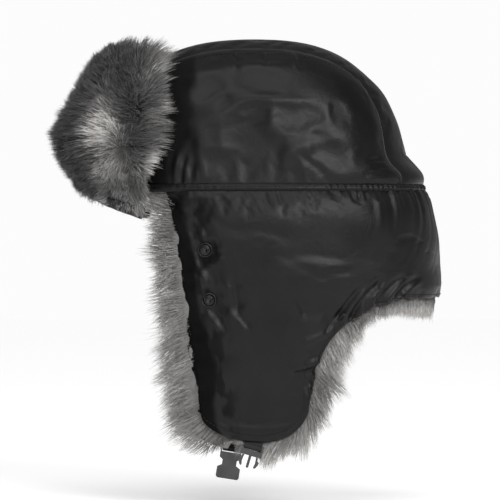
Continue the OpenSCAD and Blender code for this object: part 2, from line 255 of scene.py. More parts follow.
def outward(obj):
    """Turns every face of a closed mesh outward."""
    bm = bmesh.new()
    bm.from_mesh(obj.data)
    bmesh.ops.recalc_face_normals(bm, faces=bm.faces)
    bm.to_mesh(obj.data)
    bm.free()


def positions(mesh):
    """The mesh's points in millimetres."""
    flat = np.zeros(len(mesh.vertices) * 3)
    mesh.vertices.foreach_get("co", flat)
    return flat.reshape(-1, 3) / MM


def place(obj, body, slot, *nodes):
    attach(obj, body)
    if nodes:
        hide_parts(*nodes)
    return obj


# ---- materials ----

def grey(level, warm=0.0):
    return (level * (1 + warm), level, level * (1 - warm), 1)


def add_node(tree, kind, **values):
    """Adds a shader node; each value sets the input or the property of that name, _ standing for a space."""
    node = tree.nodes.new("ShaderNode" + kind)
    for key, value in values.items():
        if key.replace("_", " ") in node.inputs:
            node.inputs[key.replace("_", " ")].default_value = value
        else:
            setattr(node, key, value)
    return node


class Look:
    """A material with one principled shader, and short ways to put nodes in front of it."""

    def __init__(self, name, **values):
        self.material = bpy.data.materials.new(name)
        self.material.use_nodes = True
        self.tree = self.material.node_tree
        self.tree.nodes.clear()
        self.shader = self.add("BsdfPrincipled", **values)
        self.link(self.shader.outputs[0], self.add("OutputMaterial"), 0)

    def add(self, kind, **values):
        return add_node(self.tree, kind, **values)

    def link(self, source, node, where):
        self.tree.links.new(source, node.inputs[where])

    def feed(self, where, source):
        self.link(source, self.shader, where)

    def texture(self, kind, **values):
        """Output of a texture that reads object coordinates."""
        node = self.add("Tex" + kind, **values)
        self.link(self.add("TexCoord").outputs["Object"], node, "Vector")
        return node.outputs["Fac"]

    def ramp(self, value, stops):
        """Colour for a value, from (position, colour) stops."""
        node = self.add("ValToRGB")
        elements = node.color_ramp.elements
        while len(elements) < len(stops):
            elements.new(0.5)
        for element, (at, colour) in zip(elements, stops):
            element.position = at
            element.color = colour
        self.link(value, node, 0)
        return node.outputs[0]

    def remap(self, value, low, high, start=0.0, end=1.0):
        node = self.add("MapRange", From_Min=start, From_Max=end, To_Min=low, To_Max=high)
        self.link(value, node, "Value")
        return node.outputs[0]

    def bump(self, height, strength, distance, under=None):
        node = self.add("Bump", Strength=strength, Distance=distance)
        self.link(height, node, "Height")
        if under:
            self.link(under, node, "Normal")
        return node.outputs[0]


CLOTH_SHEEN = 0.02
CLOTH_GLOSS = 0.19
GLOSS_IN_SHADE = 0.1


def cloth_material(name, low, high, roughness, thread=0.45, weave=0.25, crease=0.3):
    """Woven synthetic cloth: two crossed thread directions, soft tone drift and fine creases."""
    look = Look(name, Sheen_Roughness=0.4)
    tone = look.texture("Noise", Scale=22.0, Detail=4.0, Roughness=0.55)
    look.feed("Base Color", look.ramp(tone, [(0.3, low), (0.72, high)]))
    look.feed("Roughness", look.remap(tone, roughness - 0.06, roughness + 0.08, 0.3, 0.7))
    pitch = 2 * math.pi / (thread * MM) / 20
    crossed = look.add("Math", operation="MULTIPLY")
    for k, axis in enumerate("YZ"):
        look.link(look.texture("Wave", Scale=pitch, Distortion=0.4, bands_direction=axis), crossed, k)
    creases = look.texture("Noise", Scale=75.0, Detail=6.0, Roughness=0.6, Distortion=0.6)
    coarse = look.bump(creases, crease, 0.0016)
    look.feed("Normal", look.bump(crossed.outputs[0], weave, 0.00012, coarse))
    # Painted shade: the stored shade value lowers sheen and specular shine where folds or neighbouring parts
    # would shade the cloth.
    shade = look.add("Attribute", attribute_name="shade").outputs["Fac"]
    for where, value in (("Sheen Weight", CLOTH_SHEEN), ("Specular IOR Level", CLOTH_GLOSS)):
        look.feed(where, look.remap(shade, value, value * GLOSS_IN_SHADE))
    return look.material


def fur_material(name, dark, mid, light, tip_lift):
    """Colour along a hair (v) and between hairs (u) comes from the UV map that each hair carries."""
    look = Look(name, Roughness=0.62, Specular_IOR_Level=0.3, Sheen_Weight=0.22, Sheen_Roughness=0.5)
    parts = look.add("SeparateXYZ")
    look.link(look.add("UVMap", uv_map="OFBake").outputs[0], parts, 0)
    u, v = parts.outputs[0], parts.outputs[1]
    shade = look.add("Mix", data_type="RGBA", blend_type="MULTIPLY")
    shade.inputs[0].default_value = 1.0
    look.link(look.ramp(u, [(0.0, dark), (0.5, mid), (1.0, light)]), shade, 6)
    look.link(look.ramp(v, [(0.0, grey(0.30)), (0.45, grey(0.85)), (1.0, grey(1.0))]), shade, 7)
    tipped = look.add("VectorMath", operation="SCALE")
    look.link(shade.outputs[2], tipped, 0)
    look.link(look.remap(v, 1.0, 1 + tip_lift, 0.6, 1.0), tipped, "Scale")
    look.feed("Base Color", tipped.outputs[0])
    return look.material


def plastic_material(name, level):
    look = Look(name, Roughness=0.42)
    patch = look.texture("Noise", Scale=90.0, Detail=3.0)
    look.feed("Base Color", look.ramp(patch, [(0.35, grey(level)), (0.75, grey(level * 1.5))]))
    grain = look.texture("Noise", Scale=900.0, Detail=3.0)
    look.feed("Normal", look.bump(grain, 0.25, 0.00008))
    return look.material


def metal_material(name):
    look = Look(name, Metallic=0.75)
    scuff = look.texture("Noise", Scale=420.0, Detail=5.0, Roughness=0.7)
    look.feed("Base Color", look.ramp(scuff, [(0.35, grey(0.006)), (0.8, grey(0.045))]))
    look.feed("Roughness", look.remap(scuff, 0.16, 0.32))
    return look.material


NYLON = cloth_material("nylon", grey(0.003, 0.02), grey(0.0065, 0.03), 0.34)
QUILT = cloth_material("quilted_lining", grey(0.018), grey(0.03), 0.36, crease=0.2)
WEBBING = cloth_material("webbing", grey(0.012), grey(0.02), 0.62, thread=0.7, weave=0.8, crease=0.1)
THREAD = cloth_material("thread", grey(0.008), grey(0.016), 0.5, thread=0.25, weave=0.5, crease=0.0)
PLASTIC = plastic_material("buckle_plastic", 0.03)
SOCKET_PLASTIC = plastic_material("socket_plastic", 0.085)
SNAP_METAL = metal_material("snap_metal")
VISOR_FUR = fur_material("visor_fur", grey(0.024, 0.02), grey(0.15, 0.02), grey(0.80, 0.03), 0.2)
LINING_FUR = fur_material("lining_fur", grey(0.20, 0.03), grey(0.46, 0.03), grey(0.78, 0.03), 0.15)


# ---- padded cloth: nominal grids, then a cloth simulation, then seams' puckers ----

def seam_pull(distance, width, depth):
    """How far cloth is drawn in beside a seam."""
    return depth * np.exp(-(distance / width) ** 2)


def edge_distance(grid, edges="tblr"):
    """Distance in mm of each grid point from the nearest of the named edges: top, bottom, left, right."""
    down, along = lengths(grid, 0), lengths(grid, 1)
    away = {"t": down, "b": down[-1:] - down, "l": along, "r": along[:, -1:] - along}
    return np.min([away[edge] for edge in edges], 0)


CLOTH_FRAMES = 26
CLOTH_CAP = 5.0
CLOTH_SETTINGS = {"quality": 6, "mass": 0.12, "tension_stiffness": 18, "compression_stiffness": 12,
                  "shear_stiffness": 6, "bending_stiffness": 0.4, "air_damping": 4, "pin_stiffness": 1,
                  "use_pressure": True, "uniform_pressure_force": 2.0}


def inflate(pieces, growth):
    """Cloth simulation of padded panels: {name: (grid, pinned mask)} to {name: simulated grid}."""
    objects = {}
    for name, (grid, pinned) in pieces.items():
        obj = mesh_object(name + "_cloth", grid, grid_faces(*grid.shape[:2]))
        group = obj.vertex_groups.new(name="pinned")
        group.add([int(i) for i in np.flatnonzero(pinned)], 1.0, "REPLACE")
        cloth = obj.modifiers.new("cloth", "CLOTH")
        for key, value in CLOTH_SETTINGS.items():
            setattr(cloth.settings, key, value)
        cloth.settings.vertex_group_mass = "pinned"
        cloth.settings.shrink_min = cloth.settings.shrink_max = -growth[name]
        cloth.settings.effector_weights.gravity = 0
        cloth.point_cache.frame_start, cloth.point_cache.frame_end = 1, CLOTH_FRAMES
        objects[name] = obj
    scene = bpy.context.scene
    for frame_number in range(1, CLOTH_FRAMES + 1):
        scene.frame_set(frame_number)
    out = {}
    graph = bpy.context.evaluated_depsgraph_get()
    for name, obj in objects.items():
        grid = pieces[name][0]
        move = positions(obj.evaluated_get(graph).to_mesh()).reshape(grid.shape) - grid
        size = np.linalg.norm(move, axis=2, keepdims=True)
        out[name] = grid + move * np.minimum(1, CLOTH_CAP / np.maximum(size, 1e-6))
    scene.frame_set(1)
    for obj in objects.values():
        mesh = obj.data
        bpy.data.objects.remove(obj)
        bpy.data.meshes.remove(mesh)
    return out


def puffed(grid, normals, distance, pull, puff, reach_mm=26):
    """Padded panel before simulation: drawn in at its seams and crowned between them."""
    lift = puff * (1 - np.exp(-distance / reach_mm)) - pull
    return grid + normals * lift[..., None]


def crease(grid, normals, lines):
    """Sharp folds along lines given as (y0, z0, y1, z1, width, depth), on both sides of the hat."""
    y, z = grid[..., 1], grid[..., 2]
    for y0, z0, y1, z1, width, depth in lines:
        line = np.array([y1 - y0, z1 - z0], float)
        size = np.linalg.norm(line)
        part = ((y - y0) * line[0] + (z - z0) * line[1]) / size ** 2
        bend = 0.05 * size * np.sin(math.pi * np.clip(part, 0, 1))
        off = ((y - y0) * line[1] - (z - z0) * line[0]) / size + bend
        fade = np.exp(-(np.maximum(np.abs(part - 0.5) - 0.28, 0) / 0.2) ** 2)
        profile = 0.75 * np.exp(-((off - 1.5 * width) / width) ** 2) - np.exp(-(off / width) ** 2)
        grid = grid + normals * (depth * profile * fade)[..., None]
    return grid


def pucker(grid, normals, distance, along, size, amount, seed, fade):
    """Short creases that run away from a seam."""
    rng = np.random.default_rng(seed)
    ripple = np.zeros(grid.shape[:2])
    for k in range(6):
        wave = size * rng.uniform(0.55, 1.9)
        gate = 0.5 + 0.5 * np.sin(2 * math.pi * along / (wave * rng.uniform(3, 6)) + rng.uniform(0, 6))
        ripple += np.sin(2 * math.pi * along / wave + rng.uniform(0, 6)) * gate / (1 + 0.3 * k)
    return grid + normals * (amount * ripple / 2.4 * np.exp(-distance / fade))[..., None]


# ---- crown ----

PANEL_LOW = 1.6
ALPHA_LOW = math.radians(0.3)
ALPHA_TURN = math.radians(45)
SHELL_T = 1.2


def crown_alphas(rear, top):
    """Places along the crown's seam, from the nape over the top to the front."""
    return np.concatenate([np.linspace(ALPHA_LOW, ALPHA_TURN, rear),
                           np.linspace(ALPHA_TURN, math.pi - ALPHA_TURN, top)[1:-1],
                           np.linspace(math.pi - ALPHA_TURN, math.pi - ALPHA_LOW, rear)])


def centre_grid(rear, top, across):
    """Centre panel, rows from the nape over the top to the front."""
    alpha, u = np.meshgrid(crown_alphas(rear, top), np.linspace(-1, 1, across), indexing="ij")
    return on_centre(alpha, u, PANEL_LOW)


def side_grid(rear, top):
    """Left panel, rows from the band up to the seam, columns from front to back."""
    alphas = crown_alphas(rear, top)
    seam = on_centre(alphas, np.ones_like(alphas), PANEL_LOW)[:, 1:]
    back = seam[:rear]
    front = seam[::-1][:rear]
    over = seam[rear - 1:rear - 1 + top][::-1]
    v = np.linspace(0, 1, rear)[:, None, None]
    u = np.linspace(0, 1, top)[None, :, None]
    low = front[0] + u[0] * (back[0] - front[0])
    flat = ((1 - v) * low[None] + v * over[None] + (1 - u) * front[:, None] + u * back[:, None]
            - (1 - u) * (1 - v) * low[0] - u * (1 - v) * low[-1] - (1 - u) * v * over[0] - u * v * over[-1])
    return on_side(flat[..., 0], flat[..., 1])


def flipped(grid):
    """Mirror image across the hat's middle, with its columns reversed to keep the facing."""
    out = grid[:, ::-1].copy()
    out[..., 0] *= -1
    return out


# ---- lower shell: both ear flaps and the neck curtain are one piece of cloth ----

# Bezier outlines in (y, z): the flap's front edge, its tip and its rear edge
SHELL_OUTLINE = [[(-84.5, -1.0), (-74, -55), (-69, -105), (-58, -184)],
                 [(-58, -184), (-51, -208), (20, -226), (34, -184)],
                 [(34, -184), (40, -140), (47, -118), (88, -97.5)]]
FUR_OUTLINE = [[(-103, 5), (-102, -60), (-100, -150), (-87, -200)],
               [(-87, -200), (-70, -230), (6, -230), (41, -207)],
               [(41, -205), (68, -178), (60, -132), (95, -104)]]
CLOTH_GROWTH = {"crown_centre": 0.006, "crown_left": 0.004, "crown_right": 0.004, "lower_shell": 0.014}


def resample(points, n):
    at = lengths(points)
    want = np.linspace(0, at[-1], n)
    return np.stack([np.interp(want, at, column) for column in points.T], 1)


def flattened(points):
    """Outline points (y, z) as (distance round the hat, z)."""
    return np.stack([to_flat(points[:, 0], points[:, 1]), points[:, 1]], 1)


def half_lower_grid(outline, low_edge, top_z, rows, cols):
    """Left half of the lower shell laid out flat between its outline's edges, then wrapped on the hat."""
    front, tip, rear = outline
    t = np.linspace(0, 1, 60)
    hem_y = np.linspace(rear[-1][0] + 0.5, 141.5, 60)
    edge = np.concatenate([bezier(tip, t), bezier(rear, t)[1:], np.stack([hem_y, low_edge(hem_y)], 1)])
    low = flattened(edge)
    low[-1, 0] = ROUND[-1]
    low = resample(low, cols)
    side = resample(flattened(bezier(front, t)), rows)
    u = np.linspace(0, 1, cols)[None, :, None]
    v = np.linspace(0, 1, rows)[:, None, None]
    top = np.stack([np.linspace(side[0, 0], ROUND[-1], cols), np.full(cols, top_z)], 1)
    top[:, 1] += (side[0, 1] - top_z) * np.exp(-np.linspace(0, 40, cols))
    flat = (1 - v) * top[None] + v * low[None]
    flat = flat + (1 - u) ** 3 * (side[:, None] - ((1 - v) * top[0] + v * low[0]))
    return from_flat(flat[..., 0], flat[..., 1])


def curtain_edge(y):
    return CURTAIN_LOW - 7 * (1 - smooth((y - FOLD_REAR[0]) / 24))


def curtain_fur_edge(y):
    return np.full_like(y, CURTAIN_FUR_LOW)


def whole_lower_grid(half):
    """Both halves as one grid, left front round the nape to right front."""
    return np.concatenate([half, flipped(half)[:, 1:]], 1)


def scaled(count):
    return max(6, int(count * (1.0)))


def build_cloth():
    """Every padded cloth surface, simulated together: {name: (grid, grid before padding, distance round)}"""
    rear, top = scaled(30), scaled(52)
    left = side_grid(rear, top)
    lower = whole_lower_grid(half_lower_grid(SHELL_OUTLINE, curtain_edge, -1.0, scaled(52), scaled(96)))
    centre = centre_grid(rear, top, scaled(30))
    panels = (("crown_centre", centre, "lr", 0.6), ("crown_left", left, "blr", 2.0),
              ("crown_right", flipped(left), "blr", 2.0), ("lower_shell", lower, "blr", 1.0))
    pieces = {}
    for seed, (name, grid, seams, puff) in enumerate(panels, 1):
        normals = out_normals(grid)
        distance = edge_distance(grid)
        pull = np.maximum(seam_pull(edge_distance(grid, seams), 5, 1.7), seam_pull(distance, 4, 0.5))
        start = puffed(grid, normals, distance, pull, puff)
        near_rows, near_cols = (np.minimum(edge_distance(grid, edges), 60) for edges in ("tb", "lr"))
        start = pucker(start, normals, near_rows, lengths(grid, 1), 15, 0.18, seed, 7)
        start = pucker(start, normals, near_cols, lengths(grid, 0), 19, 0.30, seed + 20, 10)
        billow = waves(grid * np.array([0.5, 0.5, 1.7]), 62, seed + 40, 2)
        start += normals * (0.9 * billow * smooth(distance / 22))[..., None]
        pieces[name] = (start, distance < 0.6)
    moved = inflate(pieces, CLOTH_GROWTH)
    return {name: (moved[name], grid, lengths(grid, 1)) for name, grid, _, _ in panels}


STITCH_RINGS = [(0.0, 0.25), (0.25, 0.95), (0.75, 0.95), (1.0, 0.25)]
STITCH_SIDES = 6
STITCH_THICK = 0.28


def stitch_row(name, line, normals, length=2.5, gap=1.0):
    """Topstitches as separate short thread capsules laid along a line of points."""
    at = lengths(line)
    starts = (np.arange(int(at[-1] // (length + gap))) + 0.15) * (length + gap)
    part, radius = np.array(STITCH_RINGS).T
    where = starts[:, None] + part * length
    places = np.stack([np.interp(where, at, column) for column in line.T], -1)
    up = unit(np.stack([np.interp(starts, at, column) for column in normals.T], -1))
    side = unit(np.cross(unit(places[:, -1] - places[:, 0]), up))
    turn = np.arange(STITCH_SIDES) * 2 * math.pi / STITCH_SIDES
    radius = STITCH_THICK * radius[:, None]
    rise = 0.35 * np.sin(math.pi * part)[:, None] + 0.05 + radius * np.sin(turn)
    points = (places[:, :, None] + up[:, None, None] * rise[..., None]
              + side[:, None, None] * (radius * np.cos(turn))[..., None])
    rings = len(STITCH_RINGS)
    per = rings * STITCH_SIDES
    walls, cap = grid_faces(rings, STITCH_SIDES, True), np.arange(STITCH_SIDES)
    faces = []
    for first in range(0, len(starts) * per, per):
        faces += [*(walls + first), cap[::-1] + first, cap + first + per - STITCH_SIDES]
    obj = mesh_object(name, points, faces, THREAD)
    outward(obj)
    return obj


# ---- fur: closed tapered hairs on a lumpy backing ----

def scatter(grid, count, rng, weight=None):
    """Random places on a grid surface, as fractional rows and columns."""
    a, b = np.diff(grid, axis=0)[:, :-1], np.diff(grid, axis=1)[:-1]
    area = np.linalg.norm(np.cross(a, b), axis=2)
    if weight is not None:
        area = area * weight[:-1, :-1]
    cell = rng.choice(area.size, count, p=area.reshape(-1) / area.sum())
    i, j = np.divmod(cell, area.shape[1])
    return i + rng.random(count), j + rng.random(count)


def at_grid(grid, i, j):
    """Values of a grid at fractional rows and columns."""
    i0, j0 = np.minimum(i.astype(int), grid.shape[0] - 2), np.minimum(j.astype(int), grid.shape[1] - 2)
    f, g = (i - i0)[:, None], (j - j0)[:, None]
    return ((1 - f) * (1 - g) * grid[i0, j0] + f * (1 - g) * grid[i0 + 1, j0]
            + (1 - f) * g * grid[i0, j0 + 1] + f * g * grid[i0 + 1, j0 + 1])


def clumped(roots, tips, spacing, pull, rng):
    """Draws the tips of neighbouring hairs together into locks; also gives each hair's lock."""
    jitter = rng.uniform(-0.5, 0.5, roots.shape) * spacing * 0.4
    keys = np.floor((roots + jitter - roots.min(0)) / spacing).astype(int)
    group = np.unique(keys, axis=0, return_inverse=True)[1].reshape(-1)
    n = group.max() + 1
    count = np.bincount(group, minlength=n)[:, None]
    centre_root, centre_tip = (np.stack([np.bincount(group, column, n) for column in ends.T], 1) / count
                               for ends in (roots, tips))
    sway = rng.normal(size=(n, 3)) * spacing * 0.35
    goal = centre_tip[group] + sway[group] + (roots - centre_root[group]) * 0.25
    return tips + (goal - tips) * pull, group


HAIR_RINGS = [(0.0, 1.0), (0.36, 0.85), (0.72, 0.55)]


def set_fur_uv(mesh, tone, along):
    """UV map that the fur material reads: each point's tone, and its place along a hair."""
    loops = np.zeros(len(mesh.loops), np.int32)
    mesh.loops.foreach_get("vertex_index", loops)
    uv = np.stack([np.clip(tone, 0.02, 0.98)[loops], along[loops]], 1)
    mesh.uv_layers.new(name="OFBake").data.foreach_set("uv", uv.reshape(-1).astype(np.float32))


def hairs(name, roots, middles, tips, width, tone, material):
    """Closed three-sided hairs that bend from root over middle to tip, as one mesh."""
    n = len(roots)
    turn = np.random.default_rng(len(name)).uniform(0, 2 * math.pi, n)
    points = []
    for f, share in HAIR_RINGS:
        p = (1 - f) ** 2 * roots + 2 * f * (1 - f) * middles + f * f * tips
        d = unit(2 * (1 - f) * (middles - roots) + 2 * f * (tips - middles))
        side = unit(np.cross(d, np.array([0.31, 0.83, 0.46])))
        up = np.cross(d, side)
        for q in range(3):
            w = turn + 2 * math.pi * q / 3
            ring_point = side * np.cos(w)[:, None] + up * np.sin(w)[:, None]
            points.append(p + ring_point * (width * share)[:, None])
    points.append(tips)
    per = len(points)
    walls = grid_faces(len(HAIR_RINGS), 3, True)[:, [0, 3, 2, 1]]
    a = np.arange(3)
    cone = np.stack([per - 4 + a, per - 4 + (a + 1) % 3, np.full(3, per - 1)], 1)
    tri = np.concatenate([[(0, 2, 1)], walls[:, :3], walls[:, [0, 2, 3]], cone])
    faces = (np.arange(n)[:, None, None] * per + tri[None]).reshape(-1, 3)
    mesh = bpy.data.meshes.new(name)
    mesh.vertices.add(n * per)
    mesh.vertices.foreach_set("co", (np.stack(points, 1) * MM).reshape(-1).astype(np.float32))
    mesh.loops.add(faces.size)
    mesh.loops.foreach_set("vertex_index", faces.reshape(-1).astype(np.int32))
    mesh.polygons.add(len(faces))
    mesh.polygons.foreach_set("loop_start", np.arange(0, faces.size, 3, dtype=np.int32))
    mesh.polygons.foreach_set("use_smooth", np.ones(len(faces), bool))
    mesh.update(calc_edges=True)
    along = np.array([f for f, _ in HAIR_RINGS for _ in range(3)] + [1.0]) * 0.94 + 0.03
    set_fur_uv(mesh, np.repeat(tone, per), np.tile(along, n))
    mesh.materials.append(material)
    return link(name, mesh)


MAT_DEPTH = 0.18


def furred_sheet(name, outer, inner, tone, material):
    """Fur backing: a closed sheet with the same UV rule as the hairs."""
    obj = closed_sheet(name, outer, inner, material)
    set_fur_uv(obj.data, np.tile(tone.reshape(-1), 2), np.full(len(obj.data.vertices), MAT_DEPTH))
    return obj


# ---- the pieces: crown ----

CLOTH = build_cloth()
CROWN_CREASES = [(-27, 112, -22, 97, 2.0, 2.0), (-4, 114, -2, 101, 1.8, 1.8),
                 (24, 113, 28, 99, 2.0, 2.0), (80, 10, 98, 11, 1.7, 2.0), (82, 15, 98, 17, 1.7, 2.0),
                 (82, 21, 96, 23, 1.8, 1.7), (-70, 2, -67, 26, 1.9, 2.0), (-61, 2, -60, 20, 1.8, 1.7),
                 (-78, 2, -76, 30, 2.0, 2.1), (-20, 78, 38, 74, 4.0, 0.7), (-30, 62, 12, 66, 3.6, 0.6),
                 (10, 34, 62, 50, 6.0, 0.9)]
LOWER_CREASES = [(56, -112, 79, -80, 2.6, 2.2), (67, -111, 88, -80, 2.6, 2.2),
                 (79, -101, 94, -76, 2.4, 2.0), (91, -96, 113, -72, 2.6, 2.0),
                 (105, -91, 124, -74, 2.4, 1.6), (47, -120, 62, -100, 2.2, 1.2),
                 (51, -123, 30, -132, 3.0, 1.8), (46, -145, 20, -153, 2.8, 2.6),
                 (44, -154, 32, -160, 1.8, 1.2), (-80, -8, -56, -44, 4.4, 2.3),
                 (-64, -20, -46, -42, 4.0, 2.0), (-56, -56, -40, -88, 4.2, 2.4),
                 (-29, -74, -25, -104, 3.0, 2.2), (-26, -100, -14, -116, 3.0, 1.3),
                 (-47, -98, -35, -116, 2.6, 1.8), (-66, -48, -62, -84, 3.0, 1.0),
                 (14, -56, 66, -60, 4.2, 0.5), (42, -73, 71, -69, 3.8, 0.5),
                 (-10, -46, 9, -47, 2.2, 0.6), (23, -88, 31, -104, 2.8, 0.8),
                 (-40, -34, 20, -42, 5.0, 0.7), (60, 0, 64, -9, 1.2, 1.0), (66, 0, 70, -10, 1.2, 1.0),
                 (72, 0, 76, -10, 1.2, 1.0), (78, 0, 82, -10, 1.2, 1.0),
                 (-60, -106, -56, -170, 5.0, 1.0)]
FRONT_ROLL = 20


def refined(grid):
    """The grid at twice the detail, with a smooth cubic through its points."""
    for axis in (0, 1):
        g = np.moveaxis(grid, axis, 0)
        pad = np.concatenate([2 * g[:1] - g[1:2], g, 2 * g[-1:] - g[-2:-1]])
        out = np.empty((2 * len(g) - 1,) + g.shape[1:])
        out[0::2] = g
        out[1::2] = (9 * (pad[1:-2] + pad[2:-1]) - (pad[:-3] + pad[3:])) / 16
        grid = np.moveaxis(out, 0, axis)
    return grid


def paint_shade(obj, amount):
    """Stores painted shade: how much a fold or a neighbour shades each point, so that the cloth shines less
    there.
    """
    layer = obj.data.attributes.new("shade", "FLOAT", "POINT")
    layer.data.foreach_set("value", np.clip(amount(positions(obj.data)), 0, 1))


def visor_painted_shadow(points):
    """Painted shadow of the visor: the soft strip of crown beside the visor's rear edges, where the cloth
    shines less; it fades out again towards the front.
    """
    y, z = points[:, 1], points[:, 2]
    edge = -80 + 17 * smooth(z / 45) + 4 * smooth((z - 50) / 60) + 3 * waves(points, 30, 91)
    return 0.9 * smooth((edge - y) / 7 + 0.5) * smooth((y - edge + 42) / 26) * smooth((122 - z) / 24)


def front_edge_painted_shade(points):
    """Painted shade on the flap: a strip along its rolled front edge and patches of painted fold shade next
    to it.
    """
    y, z = points[:, 1], points[:, 2]
    front = np.array(SHELL_OUTLINE[0])[::-1]
    inside = y - np.interp(z, front[:, 1], front[:, 0])
    # Painted shade along the rolled front edge, where the turned cloth reflects less.
    roll = smooth((17 + 5 * smooth((-60 - z) / 80) + 4 * waves(points, 34, 92) - inside) / 5)
    upright = points * np.array([1, 1, 0.35])
    # Painted shade in patches beside the edge, standing in for the shade of folds.
    folds = smooth((waves(upright, 17, 93) - 0.12) / 0.25) * smooth((42 - inside) / 18)
    return np.maximum(roll, 0.75 * folds) * smooth((-3 - z) / 10)


def build_crown():
    for name in ("crown_centre", "crown_left", "crown_right"):
        fine = refined(CLOTH[name][0])
        if name != "crown_centre":
            fine = crease(fine, out_normals(fine), CROWN_CREASES)
        obj = closed_sheet(name, fine, fine - out_normals(fine) * SHELL_T, NYLON)
        place(obj, "crown", "nylon", name + "_panel")
        # Painted shadow of the visor dims the crown's shine beside it.
        paint_shade(obj, visor_painted_shadow)
    row = -3
    for _, name in SIDES:
        grid = CLOTH["crown_" + name][0]
        normals = out_normals(grid)[row]
        stitches = stitch_row("crown_seam_stitches_" + name, grid[row] + normals * 0.25, normals)
        place(stitches, "crown", "nylon")


def ring(t, z, phi):
    """Points of the seam band's line at depth t and height z, both of which may follow phi."""
    p = inset(on_plan(phi, np.full_like(phi, -0.01)), t)
    p[..., 2] = z
    return p


def gathers(phi):
    """How strongly the band is gathered, most round the nape and a little at the front."""
    turn = np.abs(np.abs((phi + math.pi) % (2 * math.pi) - math.pi))
    return 0.35 + 0.65 * smooth((turn - 1.75) / 0.5)


BAND_POINTS = 720
BAND_SECTION = 20


def build_band():
    """Piped casing: one closed tube round the hat, ribbed where it is gathered."""
    phi = np.linspace(0, 2 * math.pi, BAND_POINTS, endpoint=False)
    rng = np.random.default_rng(7)
    rib = np.zeros(BAND_POINTS)
    for k in range(7):
        count = rng.integers(60, 150)
        rib += np.sin(phi * count + rng.uniform(0, 6)) * (0.6 + 0.4 * np.sin(phi * rng.integers(5, 14) + k))
    rib *= gathers(phi) / 3.2
    rows = []
    for a in np.linspace(0, 2 * math.pi, BAND_SECTION, endpoint=False):
        out = -math.cos(a)
        t = 1.9 + 3.3 * np.sign(-out) * abs(out) ** 0.75
        z = 3.35 * math.sin(a)
        groove = 0.55 * math.exp(-((abs(z) - 1.75) / 0.5) ** 2) * (out > 0)
        depth = t + groove - rib * 0.75 * (0.2 + max(out, 0))
        rows.append(ring(depth, z - 0.15 + rib * 0.35 * math.sin(a), phi))
    faces = grid_faces(BAND_SECTION + 1, BAND_POINTS, True) % (BAND_SECTION * BAND_POINTS)
    obj = mesh_object("seam_band_cloth", rows, faces, NYLON)
    outward(obj)
    place(obj, "crown", "nylon", "seam_band", "back_elastic")
    for k, z in enumerate((1.62, -1.92)):
        line = ring(-1.05 - rib * 0.6, z, phi)
        level = (line - np.array([0, MID_Y, 0])) * np.array([1, 1, 0])
        place(stitch_row("band_stitches_%d" % k, line, unit(level), 2.3, 0.9), "crown", "nylon")


QUILT_AROUND = 360
QUILT_LEVELS = 110
QUILT_DIAMONDS = 24
QUILT_DEEP = (4.6, 7.6)
QUILT_PUFF = 2.6


def build_crown_lining():
    """Quilted lining: puffed diamonds on the inside, smooth against the crown outside."""
    phi = np.linspace(0, 2 * math.pi, QUILT_AROUND, endpoint=False)[None, :]
    rise = np.radians(1.4 + 87.8 * np.linspace(0, 1, QUILT_LEVELS) ** 1.1)[:, None]
    z = CROWN_H * np.sin(rise) ** (2 / CURVE_P) + 0 * phi
    flat = on_plan(phi + 0 * rise, z)
    c = np.cos(rise) ** (2 / CURVE_P)
    base = np.stack([flat[..., 0] * c, MID_Y + (flat[..., 1] - MID_Y) * c, np.maximum(z, 3.6)], -1)
    a = phi * QUILT_DIAMONDS / (2 * math.pi)
    b = lengths(base[:, 0])[:, None] * QUILT_DIAMONDS / (2 * math.pi * CROWN_HALF_W)
    puff = QUILT_PUFF * np.sqrt(np.abs(np.sin(math.pi * (a + b)) * np.sin(math.pi * (a - b))))
    outer = inset(base, QUILT_DEEP[0])
    inner = inset(base, QUILT_DEEP[1] + puff * np.minimum(1, np.cos(rise) * 4))
    tops = [[0, MID_Y, CROWN_H - QUILT_DEEP[0]], [0, MID_Y, CROWN_H - 8.4]]
    verts = np.concatenate([outer.reshape(-1, 3), inner.reshape(-1, 3), tops])
    n = QUILT_AROUND * QUILT_LEVELS
    last = n - QUILT_AROUND
    shell = grid_faces(QUILT_LEVELS, QUILT_AROUND, True)
    faces = [*shell, *(shell[:, ::-1] + n)]
    for j in range(QUILT_AROUND):
        k = (j + 1) % QUILT_AROUND
        faces += [(j, k, n + k, n + j), (last + j, last + k, 2 * n), (n + last + k, n + last + j, 2 * n + 1)]
    obj = mesh_object("crown_quilt", verts, faces, QUILT)
    outward(obj)
    place(obj, "crown", "quilted_lining", "crown_lining", "crown_wadding")


# ---- the pieces: lower shell and its lining ----

FOLD_DOWN = unit(np.array([FOLD_REAR[1] - FOLD_FRONT[1], FOLD_FRONT[0] - FOLD_REAR[0]]))
FOLD_MIDDLE = (FOLD_FRONT + FOLD_REAR) / 2
STRAP_ROOM = {1: (-18, 19), -1: (-28, 13)}  # middle in y and half width of the gap in the fur


def blend_at_fold(obj, side, slot, *nodes):
    """Hides the CAD parts that a piece stands for and fixes its placement into its mesh."""
    if nodes:
        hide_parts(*nodes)
    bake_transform(obj)


HEM_LIFT = 2.2
GATHER_LIFT = 0.9
ROLL_IN = 4.4
FOLD_DENT = 0.35
SNAP_FLAT = 13


